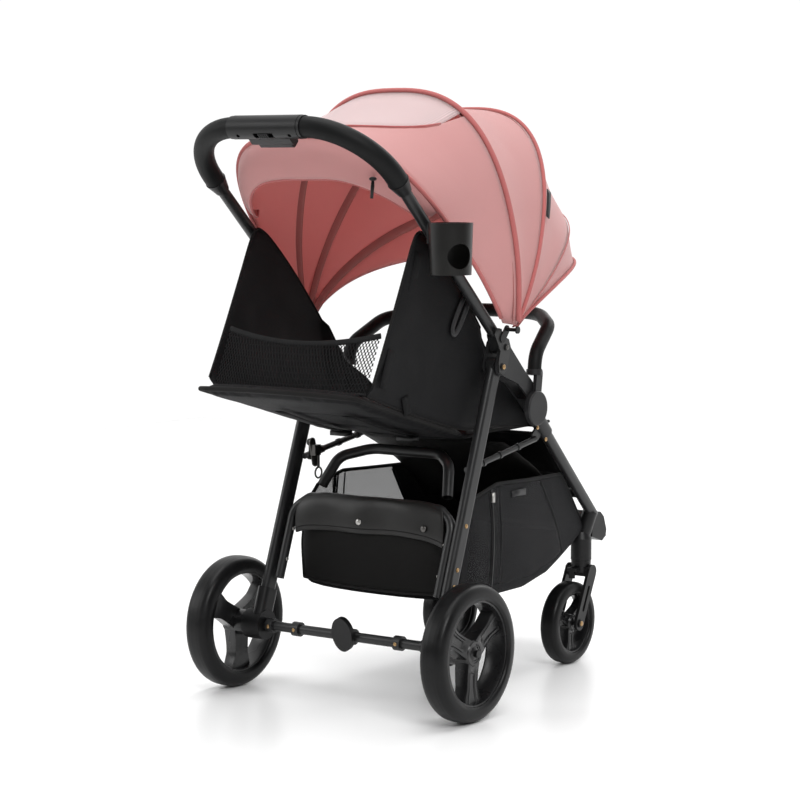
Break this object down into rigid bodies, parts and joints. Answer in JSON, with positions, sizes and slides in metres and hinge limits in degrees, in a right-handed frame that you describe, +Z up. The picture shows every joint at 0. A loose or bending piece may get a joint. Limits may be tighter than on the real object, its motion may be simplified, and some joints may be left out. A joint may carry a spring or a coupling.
{
  "type": "baby stroller",
  "caption": "Folding four-wheel pushchair with reclined seat, sliding hood, basket, push handle with fold trigger, cup holder, bumper bar and swivelling front wheels.",
  "frame": {"origin": "on the ground under the middle of the overall width and length", "axes": "+Z up, front faces -Y, the child's left side is +X"},
  "size_m": [0.524, 0.8216, 0.9938],
  "materials": {
    "frame_black": "matte",
    "frame_plastic": "matte",
    "trim_plastic": "satin",
    "plate_steel": "matte",
    "seat_fabric": "satin weave",
    "basket_fabric": "melange weave",
    "leatherette": "satin",
    "webbing": "ribbed weave",
    "hood_piping": "piping",
    "hood_fabric": "plain weave",
    "foam": "matte foam",
    "cup_plastic": "satin",
    "latch_steel": "satin",
    "tyre": "matte",
    "rim_plastic": "satin gloss",
    "net": "open net"
  },
  "bodies": {
    "front_frame": {"front_leg_left": "frame_black", "front_leg_right": "frame_black", "leg_sleeve_left": "frame_plastic", "leg_sleeve_right": "frame_plastic", "hinge_hardware": "plate_steel", "side_rails": "frame_black", "footboard": "trim_plastic", "caster_housings": "trim_plastic", "cross_tubes": "frame_black", "seat_pad": "seat_fabric", "basket": "basket_fabric", "basket_flap": "leatherette", "seat_harness": "webbing", "buckle": "trim_plastic", "hood_mounts": "trim_plastic", "hood_bow_rear": "hood_piping", "hood_panel_rear": "hood_fabric"},
    "handle_frame": {"handle_tube_left": "frame_black", "handle_tube_right": "frame_black", "handle_grips": "foam", "grip_collars": "trim_plastic", "console": "trim_plastic", "cup_clamp": "trim_plastic"},
    "fold_trigger": {"fold_trigger": "trim_plastic"},
    "safety_slider": {"safety_slider": "trim_plastic"},
    "cup_holder": {"cup_holder": "cup_plastic"},
    "rear_frame": {"rear_leg_left": "frame_black", "rear_leg_right": "frame_black", "rear_crossbar": "frame_black", "hub_housings": "trim_plastic"},
    "storage_latch": {"storage_latch": "latch_steel"},
    "brake_bar": {"brake_bar": "frame_black", "brake_pedal": "trim_plastic"},
    "brake_pin_left": {"brake_pin_left": "latch_steel"},
    "brake_pin_right": {"brake_pin_right": "latch_steel"},
    "rear_wheel_left": {"rear_tyre_left": "tyre", "rear_rim_left": "rim_plastic"},
    "rear_wheel_right": {"rear_tyre_right": "tyre", "rear_rim_right": "rim_plastic"},
    "caster_left": {"caster_fork_left": "trim_plastic"},
    "caster_right": {"caster_fork_right": "trim_plastic"},
    "front_wheel_left": {"front_tyre_left": "tyre", "front_rim_left": "rim_plastic"},
    "front_wheel_right": {"front_tyre_right": "tyre", "front_rim_right": "rim_plastic"},
    "swivel_lock_left": {"swivel_lock_left": "trim_plastic"},
    "swivel_lock_right": {"swivel_lock_right": "trim_plastic"},
    "backrest": {"backrest": "seat_fabric", "seat_wings": "seat_fabric", "mesh_panel": "net", "shoulder_straps": "webbing"},
    "hood_top": {"hood_bow_top": "hood_piping", "hood_panel_top": "hood_fabric"},
    "hood_middle": {"hood_bow_middle": "hood_piping", "hood_panel_front": "hood_fabric"},
    "hood_front": {"hood_bow_front": "hood_piping"},
    "hood_visor": {"hood_visor": "hood_fabric"},
    "bumper": {"bumper_bar": "foam", "bumper_discs": "frame_plastic"},
    "calf_rest": {"calf_rest": "seat_fabric"}
  },
  "joints": [
    {"name": "handle_fold", "type": "hinge", "parent": "front_frame", "child": "handle_frame", "pos_m": [0, 0.02622, 0.579], "axis": [1, 0, 0], "range_deg": [0, 150], "deforming": ["basket", "basket_flap", "seat_wings", "mesh_panel", "hood_panel_rear", "hood_panel_top", "hood_panel_front", "hood_visor", "hood_bow_rear", "hood_bow_top", "hood_bow_middle", "hood_bow_front"]},
    {"name": "rear_fold", "type": "hinge", "parent": "front_frame", "child": "rear_frame", "pos_m": [0, 0.03622, 0.548], "axis": [1, 0, 0], "range_deg": [-60.01, 0]},
    {"name": "bumper_fold", "type": "hinge", "parent": "front_frame", "child": "bumper", "pos_m": [0, -0.05978, 0.473], "axis": [1, 0, 0], "range_deg": [0, 55.01]},
    {"name": "trigger_pull", "type": "slide", "parent": "handle_frame", "child": "fold_trigger", "axis": [0, 0.7325, 0.6807], "range_m": [0, 0.009], "stiffness_N_per_m": 300, "springref_m": -0.004},
    {"name": "slider_push", "type": "slide", "parent": "handle_frame", "child": "safety_slider", "axis": [1, 0, 0], "range_m": [-0.009, 0.009]},
    {"name": "cup_lift", "type": "slide", "parent": "handle_frame", "child": "cup_holder", "axis": [0, 0, 1], "range_m": [0, 0.06]},
    {"name": "latch_swing", "type": "hinge", "parent": "front_frame", "child": "storage_latch", "pos_m": [0.165, 0.08797, 0.40721], "axis": [1, 0, 0], "range_deg": [0, 35]},
    {"name": "brake_turn", "type": "hinge", "parent": "rear_frame", "child": "brake_bar", "pos_m": [0, 0.19422, 0.11], "axis": [1, 0, 0], "range_deg": [0, 24]},
    {"name": "brake_pin_slide_left", "type": "slide", "parent": "rear_frame", "child": "brake_pin_left", "axis": [1, 0, 0], "range_m": [0, 0.0061]},
    {"name": "brake_pin_slide_right", "type": "slide", "parent": "rear_frame", "child": "brake_pin_right", "axis": [-1, 0, 0], "range_m": [0, 0.0061]},
    {"name": "backrest_recline", "type": "hinge", "parent": "front_frame", "child": "backrest", "pos_m": [0, 0.06622, 0.432], "axis": [1, 0, 0], "range_deg": [0, 48]},
    {"name": "calf_rest_tilt", "type": "hinge", "parent": "front_frame", "child": "calf_rest", "pos_m": [0, -0.23778, 0.412], "axis": [1, 0, 0], "range_deg": [-36, 0]},
    {"name": "hood_slide", "type": "hinge", "parent": "front_frame", "child": "hood_top", "pos_m": [0, 0.02622, 0.608], "axis": [1, 0, 0], "range_deg": [-32.3, 0], "deforming": ["hood_panel_top", "hood_panel_front"]},
    {"name": "hood_slide_middle", "type": "hinge", "parent": "hood_top", "child": "hood_middle", "pos_m": [0, 0.02622, 0.608], "axis": [1, 0, 0], "range_deg": [-26.11, 0]},
    {"name": "hood_slide_front", "type": "hinge", "parent": "hood_middle", "child": "hood_front", "pos_m": [0, 0.02622, 0.608], "axis": [1, 0, 0], "range_deg": [-25.11, 0]},
    {"name": "visor_flip", "type": "hinge", "parent": "hood_front", "child": "hood_visor", "pos_m": [0, 0.02622, 0.608], "axis": [1, 0, 0], "range_deg": [-8, 0], "deforming": ["hood_visor"]},
    {"name": "rear_wheel_spin_left", "type": "hinge", "parent": "rear_frame", "child": "rear_wheel_left", "pos_m": [0.236, 0.19422, 0.11], "axis": [1, 0, 0], "continuous": true},
    {"name": "caster_swivel_left", "type": "hinge", "parent": "front_frame", "child": "caster_left", "pos_m": [0.125, -0.32878, 0.165], "axis": [0, 0, 1], "continuous": true},
    {"name": "front_wheel_spin_left", "type": "hinge", "parent": "caster_left", "child": "front_wheel_left", "pos_m": [0.125, -0.28578, 0.072], "axis": [1, 0, 0], "continuous": true},
    {"name": "swivel_lock_press_left", "type": "slide", "parent": "caster_left", "child": "swivel_lock_left", "axis": [0, 0, 1], "range_m": [0, 0.006]},
    {"name": "rear_wheel_spin_right", "type": "hinge", "parent": "rear_frame", "child": "rear_wheel_right", "pos_m": [-0.236, 0.19422, 0.11], "axis": [1, 0, 0], "continuous": true},
    {"name": "caster_swivel_right", "type": "hinge", "parent": "front_frame", "child": "caster_right", "pos_m": [-0.125, -0.32878, 0.165], "axis": [0, 0, 1], "continuous": true},
    {"name": "front_wheel_spin_right", "type": "hinge", "parent": "caster_right", "child": "front_wheel_right", "pos_m": [-0.125, -0.28578, 0.072], "axis": [1, 0, 0], "continuous": true},
    {"name": "swivel_lock_press_right", "type": "slide", "parent": "caster_right", "child": "swivel_lock_right", "axis": [0, 0, 1], "range_m": [0, 0.006]}
  ],
  "couplings": [
    {"joint": "rear_fold", "follows": "handle_fold", "ratio": -0.4},
    {"joint": "bumper_fold", "follows": "handle_fold", "ratio": 0.36667},
    {"joint": "brake_pin_slide_left", "follows": "brake_turn", "m_per_rad": 0.014324},
    {"joint": "brake_pin_slide_right", "follows": "brake_turn", "m_per_rad": 0.014324},
    {"joint": "hood_slide_middle", "follows": "hood_slide", "ratio": 0.80805},
    {"joint": "hood_slide_front", "follows": "hood_slide", "ratio": 0.77709}
  ]
}
